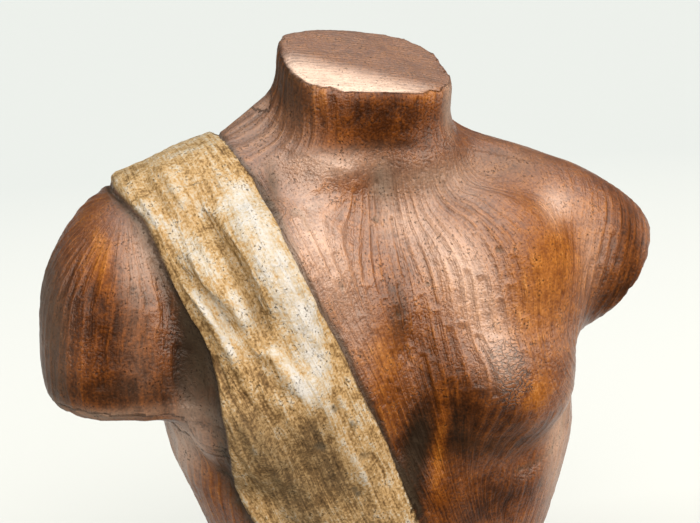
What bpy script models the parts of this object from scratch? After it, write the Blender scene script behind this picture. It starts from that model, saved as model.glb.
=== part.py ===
# Fired-clay torso with a sash over one shoulder, standing on a low plinth.
# Metres, +Z up, the figure faces -Y, and the origin is under the middle of the plinth.
# The figure's forms are shares of its own height: x and y from the middle of its neck, z from its flat foot.

import math

import bmesh
import bpy
import numpy as np
from mathutils import Euler, Matrix, Vector

# Driving dimensions
FIGURE_HEIGHT = 0.360
FOOT_HALF_WIDTH = 26.0
FOOT_HALF_DEPTH = 16.0
FOOT_MIDDLE = (3.4, 2.0)
PLINTH_HEIGHT = 0.026
PLINTH_MARGIN = 0.016
PLINTH_CORNER = 0.034
PLINTH_TOP_ROUND = 0.005
PLINTH_FOOT_ROUND = 0.002
SEAT_GAP = 0.0003
SASH_THICKNESS = 0.0040

# How finely the clay is modelled
CLAY_GRAIN = 0.0040
FINE_GRAIN = 0.0030
TORSO_TRIANGLES = 9000
RING_POINTS = 32

PERCENT = FIGURE_HEIGHT / 100
FOOT_LEVEL = PLINTH_HEIGHT + SEAT_GAP
START = Vector((-FOOT_MIDDLE[0] * PERCENT, -FOOT_MIDDLE[1] * PERCENT, FOOT_LEVEL))


def place(x, y, z):
    """A point given in hundredths of the figure's height."""
    return Vector((x, y, z)) * PERCENT + START


def clear_scene():
    for thing in list(bpy.data.objects):
        bpy.data.objects.remove(thing, do_unlink=True)


def collection(name):
    made = bpy.data.collections.new(name)
    bpy.context.scene.collection.children.link(made)
    return made


def clay(name, colour, roughness):
    made = bpy.data.materials.new(name)
    made.use_nodes = True
    shader = made.node_tree.nodes["Principled BSDF"]
    shader.inputs["Base Color"].default_value = (*colour, 1)
    shader.inputs["Roughness"].default_value = roughness
    shader.inputs["Metallic"].default_value = 0
    return made


def lump(form, centre, radii, lean=(0, 0, 0)):
    """An ellipsoid of clay: centre and radii in hundredths, lean in degrees."""
    turned = Euler([math.radians(a) for a in lean])
    matrix = Matrix.LocRotScale(place(*centre), turned, Vector(radii) * PERCENT)
    bmesh.ops.create_uvsphere(form, u_segments=28, v_segments=18, radius=1, matrix=matrix)


def section(form, row, turned, squareness):
    """One ring of a loft, a rounded box that may be deeper in front than behind."""
    x, y, z, half_width, front, back = row
    ring = bmesh.ops.create_circle(form, segments=RING_POINTS, radius=1)["verts"]
    for vert in ring:
        across, along = (math.copysign(abs(v) ** (2 / squareness), v) for v in vert.co.xy)
        depth = back if along > 0 else front
        vert.co = place(x, y, z) + turned @ Vector((across * half_width, along * depth, 0)) * PERCENT
    return ring


def smooth_rows(rows, count):
    """Rows at even steps of a smooth curve through the rows given."""
    rows = np.array(rows, float)
    ends = np.vstack([2 * rows[0] - rows[1], rows, 2 * rows[-1] - rows[-2]])
    made = []
    for t in np.linspace(0, len(rows) - 1, count):
        i = min(int(t), len(rows) - 2)
        f = t - i
        a, b, c, d = ends[i : i + 4]
        bend = a - 2.5 * b + 2 * c - d / 2
        made.append(b + f * (c - a) / 2 + f**2 * bend + f**3 * (1.5 * (b - c) + (d - a) / 2))
    return made


def loft(form, rows, turned=Matrix.Identity(3), squareness=2.3, count=24):
    """A closed skin over rings. A row holds a ring's centre, half width, and depths in front and behind."""
    rings = [section(form, row, turned, squareness) for row in smooth_rows(rows, count)]
    edges = [list({e for v in ring for e in v.link_edges}) for ring in rings]
    for low, high in zip(edges, edges[1:]):
        bmesh.ops.bridge_loops(form, edges=low + high)
    for ring in (rings[0], rings[-1]):
        bmesh.ops.contextual_create(form, geom=ring)


def trunk(form):
    """Hips, waist, ribs and chest, with the waist a little towards the figure's left."""
    loft(
        form,
        [
            (FOOT_MIDDLE[0], FOOT_MIDDLE[1], -4.0, FOOT_HALF_WIDTH, FOOT_HALF_DEPTH, FOOT_HALF_DEPTH),
            (3.6, 0.8, 8.0, 25.0, 15.0, 15.2),
            (3.6, 0.5, 21.0, 25.4, 15.0, 13.4),
            (3.2, 0.3, 32.0, 28.6, 16.6, 14.6),
            (1.8, 0.2, 43.0, 31.2, 17.8, 16.0),
            (0.4, 0.2, 55.5, 29.4, 18.0, 17.2),
            (0.0, 0.4, 66.0, 28.6, 15.6, 17.4),
            (0.0, 0.8, 75.0, 25.5, 10.6, 15.4),
            (0.0, 1.2, 80.5, 16.5, 6.4, 11.0),
        ],
    )


def shoulder_girdle(form):
    """One form from shoulder to shoulder, whose upper line is the slope either side of the neck."""
    upright = Matrix.Rotation(math.radians(-90), 3, "Y")
    loft(
        form,
        [
            (-38.0, 0.0, 66.0, 4.0, 4.0, 4.0),
            (-34.0, 0.0, 67.0, 9.0, 9.5, 9.5),
            (-29.0, 0.2, 69.2, 12.2, 11.0, 12.0),
            (-20.0, 1.0, 72.0, 12.2, 10.0, 13.0),
            (-9.0, 1.0, 74.0, 12.0, 8.0, 13.0),
            (9.0, 1.0, 73.0, 12.0, 8.0, 13.0),
            (20.0, 1.0, 70.6, 12.2, 10.0, 13.0),
            (30.0, 0.6, 66.4, 13.0, 12.0, 12.5),
            (37.0, 0.4, 63.8, 12.4, 11.5, 11.5),
            (43.0, 0.2, 61.0, 10.6, 9.5, 9.5),
            (48.0, 0.0, 57.0, 7.0, 6.0, 6.0),
        ],
        upright,
        2.1,
        40,
    )


def neck(form):
    loft(
        form,
        [
            (0.0, 1.4, 74.0, 17.5, 12.0, 14.0),
            (0.0, 1.0, 80.0, 14.6, 11.0, 12.4),
            (0.2, 0.4, 86.0, 12.4, 10.0, 11.0),
            (0.4, 0.0, 93.0, 12.0, 9.8, 10.4),
            (0.4, 0.0, 104.0, 12.2, 10.0, 10.4),
        ],
        squareness=3.2,
    )
    lump(form, (-12.0, 3.5, 82.5), (13.0, 6.5, 6.5), (0, -36, 0))
    lump(form, (11.0, 3.5, 80.5), (12.0, 6.5, 6.0), (0, 30, 0))


def hanging_arm(form):
    """The figure's right upper arm, cut off square above the elbow."""
    loft(
        form,
        [
            (-35.0, -2.2, 49.4, 10.6, 12.0, 10.6),
            (-35.1, -1.8, 56.0, 10.9, 12.8, 10.9),
            (-34.1, -1.2, 65.5, 10.9, 12.2, 11.1),
            (-31.4, -0.2, 73.0, 9.6, 10.2, 10.6),
            (-28.8, 0.2, 77.8, 7.2, 7.0, 8.0),
            (-27.8, 0.3, 79.8, 4.0, 4.0, 4.5),
        ],
        Matrix.Rotation(math.radians(5), 3, "Y"),
        2.5,
    )


def chest_forms(form):
    for side in (-1, 1):
        lump(form, (side * 14.5, -6.5, 60.0), (17.0, 11.0, 18.0), (15, 0, side * -8))
        lump(form, (side * 15.6, -11.2, 51.0), (13.0, 8.0, 12.5), (8, 0, side * -12))
        lump(form, (side * 25.0, -4.5, 62.0), (10.0, 8.0, 8.0), (0, side * -30, 0))


def back_forms(form):
    for side in (-1, 1):
        lump(form, (side * 15.0, 12.0, 66.0), (9.5, 6.0, 13.0), (6, 0, side * 14))


def evaluated_mesh(thing):
    graph = bpy.context.evaluated_depsgraph_get()
    return bpy.data.meshes.new_from_object(thing.evaluated_get(graph))


def fused(thing, grain):
    """Fuses what the object holds into one skin of the given grain."""
    fuse = thing.modifiers.new("fuse", "REMESH")
    fuse.mode = "VOXEL"
    fuse.voxel_size = grain
    applied(thing)


def vertex_arrays(mesh):
    """The mesh's points in hundredths, and their outward directions."""
    points = np.empty(len(mesh.vertices) * 3, np.float32)
    mesh.vertices.foreach_get("co", points)
    points = (points.reshape(-1, 3).astype(float) - START) / PERCENT
    outward = np.empty(len(mesh.vertices) * 3, np.float32)
    mesh.vertex_normals.foreach_get("vector", outward)
    return points, outward.reshape(-1, 3).astype(float)


def raise_skin(mesh, heights):
    """Moves every point of the mesh along its outward direction, by hundredths."""
    points, outward = vertex_arrays(mesh)
    points += outward * heights[:, None]
    points = points * PERCENT + START
    mesh.vertices.foreach_set("co", points.astype(np.float32).ravel())
    mesh.update()


def ease(value, low, high):
    """0 below low, 1 above high, and a smooth step between them."""
    t = np.clip((value - low) / (high - low), 0, 1)
    return t * t * (3 - 2 * t)


def stroke(points, outward, side, path, radius, height):
    """A stroke on the front (side -1) or back (side 1), drawn in x and z, that raises or hollows the clay."""
    here = points[:, [0, 2]]
    nearest = np.full(len(here), 1e9)
    for start, end in zip(path, path[1:]):
        start, along = np.array(start), np.subtract(end, start)
        t = np.clip((here - start) @ along / (along @ along), 0, 1)
        nearest = np.minimum(nearest, np.linalg.norm(here - start - t[:, None] * along, axis=1))
    return height * np.exp(-((nearest / radius) ** 2)) * ease(side * outward[:, 1], 0.05, 0.45)


def anatomy(mesh):
    """Collarbones, breastbone, ribs, belly, spine and shoulder blades, stroked on in low relief."""
    points, outward = vertex_arrays(mesh)
    front, back = -1, 1
    strokes = [
        (front, [(-0.3, 82.0), (-0.2, 79.0)], 3.2, -1.7),
        (front, [(-0.2, 78.0), (3.5, 64.0), (1.6, 53.0), (1.3, 44.0)], 3.0, -0.8),
        (front, [(1.6, 58.0), (1.4, 50.0), (2.4, 42.0)], 3.4, -1.3),
        (front, [(3.0, 40.0), (3.6, 8.0)], 2.6, -0.9),
        (front, [(3.6, 13.5), (3.6, 12.5)], 1.5, -1.3),
        (front, [(-30.6, 72.0), (-28.2, 64.5), (-26.6, 58.0), (-26.2, 49.5)], 1.5, -1.3),
        (back, [(0.0, 84.0), (0.6, 45.0), (3.4, 12.0)], 3.4, -2.4),
    ]
    for side in (-1, 1):
        hips = 3.4 + side
        strokes += [
            (front, [(side * 2.5, 81.2), (side * 12.0, 83.2), (side * 24.0, 82.0)], 2.0, 0.8),
            (front, [(side * 9.0, 86.5), (side * 18.0, 85.0)], 3.0, -0.6),
            (front, [(side * 27.6, 43.0), (side * 25.8, 40.2), (side * 20.5, 37.6)], 1.7, -1.1),
            (front, [(side * 20.5, 37.6), (side * 13.0, 38.0)], 1.7, -0.7),
            (front, [(2.5 + side * 2.0, 42.0), (3.0 + side * 15.0, 30.0)], 2.6, -0.7),
            (front, [(hips + side * 12.0, 6.0), (hips + side * 21.0, 17.0)], 3.0, -0.7),
            (back, [(side * 8.5, 76.0), (side * 12.5, 56.0)], 3.0, -1.0),
            (back, [(side * 10.0, 77.0), (side * 24.0, 78.5)], 2.4, 0.7),
            (back, [(2.0 + side * 8.0, 40.0), (hips + side * 8.0, 14.0)], 4.0, 1.0),
            (back, [(hips + side * 8.0, 8.0), (hips + side * 8.5, 9.0)], 2.4, -0.9),
        ]
    raise_skin(mesh, sum(stroke(points, outward, *s) for s in strokes))


def border(heights, corners):
    """The x of a border at each height, from its corners as (z, x)."""
    return np.interp(heights, *zip(*corners))


def inside_sash(points):
    """How far each point lies inside the nearer edge of the sash, a band that slants down front and back."""
    x, z = points[:, 0], points[:, 2]
    arm_side = [(0, -2), (16, -11), (32, -18.3), (36, -20.4), (43, -22.9), (52, -24.9), (60, -25.9)]
    arm_side += [(63.3, -27.4), (68, -29.6), (72, -31), (76, -32.4), (78.5, -34.6), (80, -36.2), (84, -39)]
    neck_side = [(0, 18), (16, 11), (32.4, 3.6), (39.2, 0.8), (45.2, -1.5), (52.5, -5), (59.3, -7.9)]
    neck_side += [(64.6, -10.7), (68.5, -12.5), (72.5, -14.3), (76.1, -15.6), (80.2, -17), (83.7, -19.4)]
    neck_side += [(87, -22)]
    from_arm = (x - border(z, arm_side)) * 0.93
    from_neck = (border(z, neck_side) - x) * 0.90
    return np.minimum(from_arm, from_neck)


def sash_folds(points, outward):
    """A deep hollow with a full roll beside it, thin overlapping pleats, and plainer folds on the back."""
    front, back = -1, 1
    strokes = [
        (front, [(-24.3, 76.6), (-21.6, 73.2), (-19.8, 70.0), (-17.0, 63.8)], 0.95, -1.3),
        (front, [(-20.6, 79.5), (-17.8, 74.5), (-14.8, 67.0), (-12.6, 60.0), (-12.0, 54.0)], 2.0, 0.7),
        (front, [(-28.5, 80.5), (-25.6, 75.5), (-23.0, 69.5)], 1.3, 0.45),
        (front, [(-28.7, 69.2), (-25.6, 65.8), (-22.6, 60.2), (-21.4, 56.0)], 0.8, 0.55),
        (front, [(-28.0, 63.5), (-25.0, 58.0), (-24.0, 53.5)], 1.1, -0.45),
        (front, [(-27.6, 72.4), (-24.6, 69.0), (-21.6, 65.2), (-20.0, 62.8)], 0.8, 0.5),
        (front, [(-26.0, 68.6), (-23.0, 64.4), (-20.8, 59.6)], 0.8, -0.4),
        (front, [(-19.2, 61.5), (-16.4, 57.8), (-13.8, 53.6)], 1.0, 0.4),
        (front, [(-23.5, 53.2), (-20.6, 48.4), (-16.7, 42.9), (-13.4, 39.6)], 1.2, 0.5),
        (front, [(-19.0, 53.0), (-14.5, 46.0), (-10.0, 39.5)], 1.3, -0.4),
        (front, [(-10.0, 50.0), (-4.0, 38.0), (0.0, 28.0)], 1.6, 0.4),
        (front, [(-16.0, 37.0), (-8.0, 22.0), (0.0, 6.0)], 1.6, -0.7),
        (front, [(-8.0, 34.0), (1.0, 17.0), (6.0, 4.0)], 1.7, 0.6),
        (front, [(-2.0, 30.0), (6.0, 14.0), (10.0, 2.0)], 1.4, -0.5),
        (back, [(-27.0, 79.0), (-17.0, 60.0), (-6.0, 36.0), (4.0, 14.0)], 1.5, -0.8),
        (back, [(-23.0, 80.0), (-12.0, 56.0), (0.0, 30.0), (9.0, 8.0)], 1.8, 0.6),
        (back, [(-22.0, 60.0), (-14.0, 42.0), (-4.0, 20.0)], 1.6, 0.5),
    ]
    return sum(stroke(points, outward, *s) for s in strokes)


def lay_sash(mesh):
    """Raises the sash, which runs over the shoulder and slants down front and back."""
    points, outward = vertex_arrays(mesh)
    inside = inside_sash(points)
    below_neck = 1 - ease(points[:, 2], 89, 92)
    cloth = ease(inside, -0.5, 0.7) * SASH_THICKNESS / PERCENT
    folds = sash_folds(points, outward) * ease(inside, 0.2, 1.8)
    groove = -0.25 * np.exp(-(((inside + 0.9) / 0.6) ** 2))
    raise_skin(mesh, (cloth + folds + groove) * below_neck)


def cutter(name, point, outward, size, into):
    """A block whose near face stands at the point, for cutting off what lies outward of it."""
    bpy.ops.mesh.primitive_cube_add(size=size * PERCENT)
    block = bpy.context.object
    block.name = name
    outward = Vector(outward).normalized()
    block.rotation_mode = "QUATERNION"
    block.rotation_quaternion = outward.to_track_quat("Z", "Y")
    block.location = place(*point) + outward * size * PERCENT / 2
    block.hide_render = True
    block.display_type = "WIRE"
    for home in list(block.users_collection):
        home.objects.unlink(block)
    into.objects.link(block)
    return block


def cut(thing, block):
    slice_off = thing.modifiers.new(block.name, "BOOLEAN")
    slice_off.operation = "DIFFERENCE"
    slice_off.object = block


def applied(thing):
    """The object's modifiers become part of its mesh."""
    thing.data = evaluated_mesh(thing)
    thing.modifiers.clear()


def smoothed(thing, passes):
    even = thing.modifiers.new("even", "SMOOTH")
    even.factor = 0.5
    even.iterations = passes
    applied(thing)


def make_torso(into, cutters, material):
    form = bmesh.new()
    trunk(form)
    shoulder_girdle(form)
    neck(form)
    hanging_arm(form)
    chest_forms(form)
    back_forms(form)
    bmesh.ops.recalc_face_normals(form, faces=form.faces)
    mesh = bpy.data.meshes.new("torso")
    form.to_mesh(mesh)
    form.free()
    torso = bpy.data.objects.new("torso", mesh)
    into.objects.link(torso)
    fused(torso, CLAY_GRAIN)
    smoothed(torso, 16)
    anatomy(torso.data)
    cut(torso, cutter("neck_cut", (0, 0, 94.9), (0.07, -0.33, 1), 60, cutters))
    cut(torso, cutter("neck_corner_cut", (10.0, -8.0, 92.8), (0.10, -0.30, 1), 60, cutters))
    cut(torso, cutter("raised_arm_cut", (38.6, 0, 62.9), (0.80, 0.10, -0.59), 34, cutters))
    applied(torso)
    fused(torso, FINE_GRAIN)
    smoothed(torso, 5)
    lay_sash(torso.data)
    smoothed(torso, 2)
    thin = torso.modifiers.new("thin", "DECIMATE")
    thin.ratio = TORSO_TRIANGLES / (2 * len(torso.data.polygons))
    cut(torso, cutter("foot_cut", (*FOOT_MIDDLE, 0), (0, 0, -1), 80, cutters))
    torso.data.materials.append(material)
    return torso


def corner_edges(form, test):
    return [edge for edge in form.edges if all(test(vert.co) for vert in edge.verts)]


def make_plinth(into, material):
    """A low block with rounded corners, as large as the figure's foot and a margin all round."""
    width = 2 * (FOOT_HALF_WIDTH * PERCENT + PLINTH_MARGIN)
    depth = 2 * (FOOT_HALF_DEPTH * PERCENT + PLINTH_MARGIN)
    size = Vector((width, depth, PLINTH_HEIGHT))
    matrix = Matrix.LocRotScale(Vector((0, 0, PLINTH_HEIGHT / 2)), None, size)
    form = bmesh.new()
    bmesh.ops.create_cube(form, size=1, matrix=matrix)
    upright = [e for e in form.edges if abs(e.verts[0].co.z - e.verts[1].co.z) > PLINTH_HEIGHT / 2]
    bmesh.ops.bevel(form, geom=upright, offset=PLINTH_CORNER, segments=8, profile=0.5, affect="EDGES")
    top = corner_edges(form, lambda point: point.z > PLINTH_HEIGHT - 1e-5)
    bmesh.ops.bevel(form, geom=top, offset=PLINTH_TOP_ROUND, segments=4, profile=0.5, affect="EDGES")
    foot = corner_edges(form, lambda point: point.z < 1e-5)
    bmesh.ops.bevel(form, geom=foot, offset=PLINTH_FOOT_ROUND, segments=2, profile=0.5, affect="EDGES")
    mesh = bpy.data.meshes.new("plinth")
    form.to_mesh(mesh)
    form.free()
    mesh.materials.append(material)
    plinth = bpy.data.objects.new("plinth", mesh)
    into.objects.link(plinth)
    return plinth


def main():
    clear_scene()
    pieces = collection("Terracotta torso")
    cutters = collection("Cutters")
    make_torso(pieces, cutters, clay("brown glazed clay", (0.235, 0.068, 0.020), 0.38))
    make_plinth(pieces, clay("dark brown clay", (0.110, 0.038, 0.016), 0.55))


main()
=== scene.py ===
import math
from functools import partial

import bmesh
import bpy
import numpy as np
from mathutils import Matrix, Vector, noise


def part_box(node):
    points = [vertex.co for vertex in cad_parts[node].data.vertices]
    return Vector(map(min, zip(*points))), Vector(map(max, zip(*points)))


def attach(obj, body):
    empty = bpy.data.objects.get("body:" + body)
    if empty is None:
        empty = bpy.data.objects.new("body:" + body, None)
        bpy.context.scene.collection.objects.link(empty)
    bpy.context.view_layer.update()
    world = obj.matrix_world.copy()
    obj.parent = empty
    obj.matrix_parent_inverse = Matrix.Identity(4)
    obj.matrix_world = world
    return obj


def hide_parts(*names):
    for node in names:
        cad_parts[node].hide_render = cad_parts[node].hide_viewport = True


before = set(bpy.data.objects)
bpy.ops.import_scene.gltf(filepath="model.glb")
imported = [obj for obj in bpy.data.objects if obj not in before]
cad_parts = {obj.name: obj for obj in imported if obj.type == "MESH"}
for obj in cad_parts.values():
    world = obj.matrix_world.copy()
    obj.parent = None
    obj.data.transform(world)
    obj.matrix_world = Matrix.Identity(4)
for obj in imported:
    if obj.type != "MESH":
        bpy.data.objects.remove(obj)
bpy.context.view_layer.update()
print("frame loaded")

# The figure's forms are placed in hundredths of its height: x and y from the middle of the neck, z from the
# flat foot
percent = 0.0036
neckMiddle = Vector((-0.01224, -0.0072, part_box("torso")[0].z))
millimetre = 0.001
front, back = -1, 1


# sRGB hex to the linear colour that a shader takes
def linearColour(hexColour):
    channels = [int(hexColour[i : i + 2], 16) / 255 for i in (1, 3, 5)]
    return [c / 12.92 if c <= 0.04045 else ((c + 0.055) / 1.055) ** 2.4 for c in channels] + [1.0]


# 0 below low, 1 above high, and a smooth step between them
def ease(value, low, high):
    t = np.clip((value - low) / (high - low), 0, 1)
    return t * t * (3 - 2 * t)


def bell(distance, width):
    return np.exp(-((distance / width) ** 2))


# One smooth value from -1 to 1 for each point, in lumps of the given size
def lumps(points, size, draw):
    shift = Vector((17.3, 9.1, 5.7)) * draw
    return np.array([noise.noise(Vector(point) / size + shift) for point in points])


def applyModifiers(piece):
    piece.data = bpy.data.meshes.new_from_object(piece.evaluated_get(bpy.context.evaluated_depsgraph_get()))
    piece.modifiers.clear()


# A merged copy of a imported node, remeshed into even faces
def evenCopy(node, name, grain):
    form = bmesh.new()
    form.from_mesh(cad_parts[node].data)
    bmesh.ops.remove_doubles(form, verts=form.verts, dist=0.01 * millimetre)
    mesh = bpy.data.meshes.new(name)
    form.to_mesh(mesh)
    form.free()
    piece = bpy.data.objects.new(name, mesh)
    bpy.context.scene.collection.objects.link(piece)
    even = piece.modifiers.new("even", "REMESH")
    even.mode = "VOXEL"
    even.voxel_size = grain
    applyModifiers(piece)
    return piece


def smoothed(piece, passes, weights=None):
    soften = piece.modifiers.new("soften", "SMOOTH")
    soften.factor = 0.5
    soften.iterations = passes
    if weights is not None:
        group = piece.vertex_groups.new(name="soft")
        for index, weight in enumerate(weights):
            group.add([index], float(weight), "REPLACE")
        soften.vertex_group = group.name
    applyModifiers(piece)
    piece.vertex_groups.clear()


# The mesh's points in hundredths, and the way each faces
def skinArrays(mesh):
    points = np.empty(len(mesh.vertices) * 3, np.float32)
    mesh.vertices.foreach_get("co", points)
    outward = np.empty(len(mesh.vertices) * 3, np.float32)
    mesh.vertex_normals.foreach_get("vector", outward)
    return (points.reshape(-1, 3).astype(float) - neckMiddle) / percent, outward.reshape(-1, 3).astype(float)


# Moves each point outward by its height in millimetres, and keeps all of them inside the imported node's box
def moveSkin(mesh, heights, node):
    points, outward = skinArrays(mesh)
    low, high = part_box(node)
    moved = points * percent + neckMiddle + outward * heights[:, None] * millimetre
    moved = np.clip(moved, np.array(low), np.array(high))
    mesh.vertices.foreach_set("co", moved.astype(np.float32).ravel())
    mesh.update()


# Keeps values on the mesh's points for its material to read
def keepAttributes(mesh, kept):
    for name, values in kept.items():
        kind, field = ("FLOAT_VECTOR", "vector") if values.ndim == 2 else ("FLOAT", "value")
        made = mesh.attributes.new(name, kind, "POINT")
        made.data.foreach_set(field, values.astype(np.float32).ravel())


def finishSkin(piece, material):
    piece.data.shade_smooth()
    piece.data.materials.clear()
    piece.data.materials.append(material)
    piece.data.calc_loop_triangles()
    print(piece.name, "has", len(piece.data.loop_triangles), "triangles")


# Each point's distance from a path drawn in x and z, +1 on the path's +x side where it runs downward, and how
# far along the path it lies, from 0 to 1
def fromPath(points, path):
    here = points[:, [0, 2]]
    nearest, side, along = np.full(len(here), 1e9), np.ones(len(here)), np.zeros(len(here))
    whole = sum(math.dist(a, b) for a, b in zip(path, path[1:]))
    passed = 0.0
    for start, end in zip(path, path[1:]):
        run = np.subtract(end, start)
        t = np.clip((here - start) @ run / (run @ run), 0, 1)
        distance = np.linalg.norm(here - start - t[:, None] * run, axis=1)
        closer = distance < nearest
        turn = run[0] * (here[:, 1] - start[1]) - run[1] * (here[:, 0] - start[0])
        side[closer] = np.sign(turn[closer])
        along[closer] = (passed + t[closer] * math.dist(start, end)) / whole
        nearest[closer] = distance[closer]
        passed += math.dist(start, end)
    return nearest, side, along


# A stroke on the front or the back: its reach to its -x and +x side in hundredths, its height in millimetres,
# and the share of its length over which it fades at the upper and the lower end
def stroke(points, outward, path, left, right, height, fades=(0, 0), face=front):
    distance, side, along = fromPath(points, path)
    fade = 1.0
    for fromEnd, share in zip((along, 1 - along), fades):
        fade = fade * (ease(fromEnd, 0, share) if share else 1)
    reach = np.where(side < 0, left, right) * (0.45 + 0.55 * fade)
    return height * fade * bell(distance, reach) * ease(face * outward[:, 1], 0.02, 0.35)


torsoSizes = {
    # Metres between points, halved on the front and again on the chest and in the sash's folds
    "grain": 0.0033,
    "softenPasses": 6,
    "sashThickness": 4.0,  # this and the next four are millimetres
    "combPitch": 5.0,
    "combDepth": 0.80,
    "strokeLength": 32,
    "clayLumps": 0.28,
    "foldHeight": 1.65,  # times the heights below
    "gloss": 0.8,  # share of the glaze's full gloss, where no shade below changes it
}

# The sash's two borders as (z, x)
armSide = [
    (0, -2), (16, -11), (32, -18.3), (36, -20.4), (43, -22.6), (52, -24.2), (56, -24.4), (60, -25.1),
    (63.3, -26.4), (68, -28.8), (72, -30.3), (76, -31.8), (78.5, -34.2), (80, -36.0), (84, -39),
]
neckSide = [
    (0, 18), (16, 11), (32.4, 3.6), (39.2, 0.8), (45.2, -1.5), (52.5, -5), (59.3, -7.9), (64.6, -10.7),
    (68.5, -12.5), (72.5, -14.3), (76.1, -15.6), (80.2, -17), (83.7, -19.4), (87, -22),
]

# Folds of the sash: path, reach to the arm side and to the neck side, height in millimetres, and the fades at
# its two ends
frontFolds = [
    ([(-25.2, 76.6), (-22.6, 74.0), (-21.0, 71.4), (-19.5, 67.8), (-18.2, 64.0), (-17.4, 61.5)],
     1.7, 0.55, -2.3, (0.5, 0.12)),
    ([(-25.4, 78.0), (-21.8, 75.2), (-19.6, 72.4), (-17.9, 68.4), (-16.2, 63.0)],
     0.45, 1.9, 1.5, (0.25, 0.3)),
    ([(-28.7, 69.0), (-27.2, 67.8), (-25.9, 66.4), (-24.2, 62.9), (-22.5, 59.9), (-21.6, 57.8),
      (-21.1, 55.8)], 0.36, 0.95, 1.9, (0.15, 0.15)),
    ([(-29.0, 68.0), (-27.0, 64.8), (-25.0, 60.8), (-23.4, 57.0), (-22.6, 54.6)], 1.3, 0.5, -1.3, (0.2, 0.2)),
    ([(-28.5, 72.7), (-25.9, 71.3), (-24.5, 68.9), (-22.3, 66.6), (-20.0, 62.8)], 0.4, 1.0, 1.4, (0.3, 0.15)),
    ([(-28.3, 70.8), (-25.4, 69.0), (-23.6, 66.0), (-21.4, 62.4)], 0.9, 0.4, -1.0, (0.2, 0.2)),
    ([(-27.8, 69.1), (-23.7, 63.4), (-21.1, 60.0)], 0.35, 0.6, 0.8, (0.2, 0.2)),
    ([(-18.6, 60.7), (-16.5, 57.7), (-13.4, 53.0)], 0.38, 1.2, 1.4, (0.2, 0.3)),
    ([(-19.6, 60.6), (-17.6, 57.4), (-14.6, 53.0)], 1.2, 0.4, -1.1, (0.2, 0.3)),
    ([(-20.4, 62.4), (-18.2, 58.6), (-15.2, 54.0)], 0.4, 0.5, 0.7, (0.2, 0.3)),
    ([(-29.8, 81.8), (-27.9, 80.0), (-27.2, 78.3), (-25.6, 75.6)], 0.45, 1.4, 1.1, (0.2, 0.4)),
    ([(-31.0, 80.4), (-29.2, 78.0), (-27.4, 75.4)], 1.1, 0.5, -0.9, (0.2, 0.4)),
    ([(-32.4, 78.6), (-30.6, 75.6), (-29.4, 71.6)], 0.45, 0.8, 0.7, (0.2, 0.3)),
    ([(-18.1, 77.1), (-16.9, 73.9), (-15.8, 71.2), (-13.8, 67.0), (-11.6, 62.4)],
     0.35, 0.35, -0.6, (0.2, 0.3)),
    ([(-14.6, 66.0), (-11.4, 59.8), (-9.4, 55.6)], 0.4, 0.5, 0.6, (0.2, 0.2)),
    ([(-23.8, 53.3), (-21.4, 50.2), (-18.6, 45.4), (-15.5, 41.0), (-12.9, 39.7)], 0.38, 0.9, 0.9, (0.2, 0.2)),
    ([(-24.4, 50.1), (-20.7, 45.3), (-16.6, 39.1), (-14.4, 34.7)], 0.38, 0.8, 0.8, (0.2, 0.2)),
    ([(-23.2, 55.4), (-19.6, 49.0), (-14.4, 42.4)], 0.38, 0.6, 0.6, (0.2, 0.2)),
    ([(-22.0, 56.4), (-18.0, 50.0), (-12.6, 43.4)], 0.5, 0.4, -0.5, (0.2, 0.2)),
    ([(-18.4, 55.6), (-15.0, 50.0), (-11.0, 44.8)], 0.4, 0.6, 0.6, (0.2, 0.3)),
    ([(-11.5, 54.0), (-8.6, 47.6), (-5.4, 41.0), (-2.6, 35.0)], 0.5, 0.9, 0.7, (0.2, 0.3)),
    ([(-9.8, 53.4), (-7.2, 47.6), (-3.6, 40.6)], 0.45, 0.45, -0.6, (0.2, 0.3)),
    ([(-16.0, 37.0), (-8.0, 22.0), (0.0, 6.0)], 0.8, 0.6, -0.8, (0.2, 0.2)),
    ([(-8.0, 34.0), (1.0, 17.0), (6.0, 4.0)], 0.6, 1.3, 0.9, (0.2, 0.2)),
    ([(-2.0, 30.0), (6.0, 14.0), (10.0, 2.0)], 0.9, 0.5, -0.7, (0.2, 0.2)),
]
backFolds = [
    ([(-27.0, 79.0), (-17.0, 60.0), (-6.0, 36.0), (4.0, 14.0)], 1.1, 0.6, -1.0, (0.1, 0.1)),
    ([(-23.0, 80.0), (-12.0, 56.0), (0.0, 30.0), (9.0, 8.0)], 0.7, 1.5, 0.9, (0.1, 0.1)),
    ([(-30.0, 74.0), (-20.0, 52.0), (-8.0, 28.0)], 0.9, 0.7, 0.7, (0.1, 0.1)),
]

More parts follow.
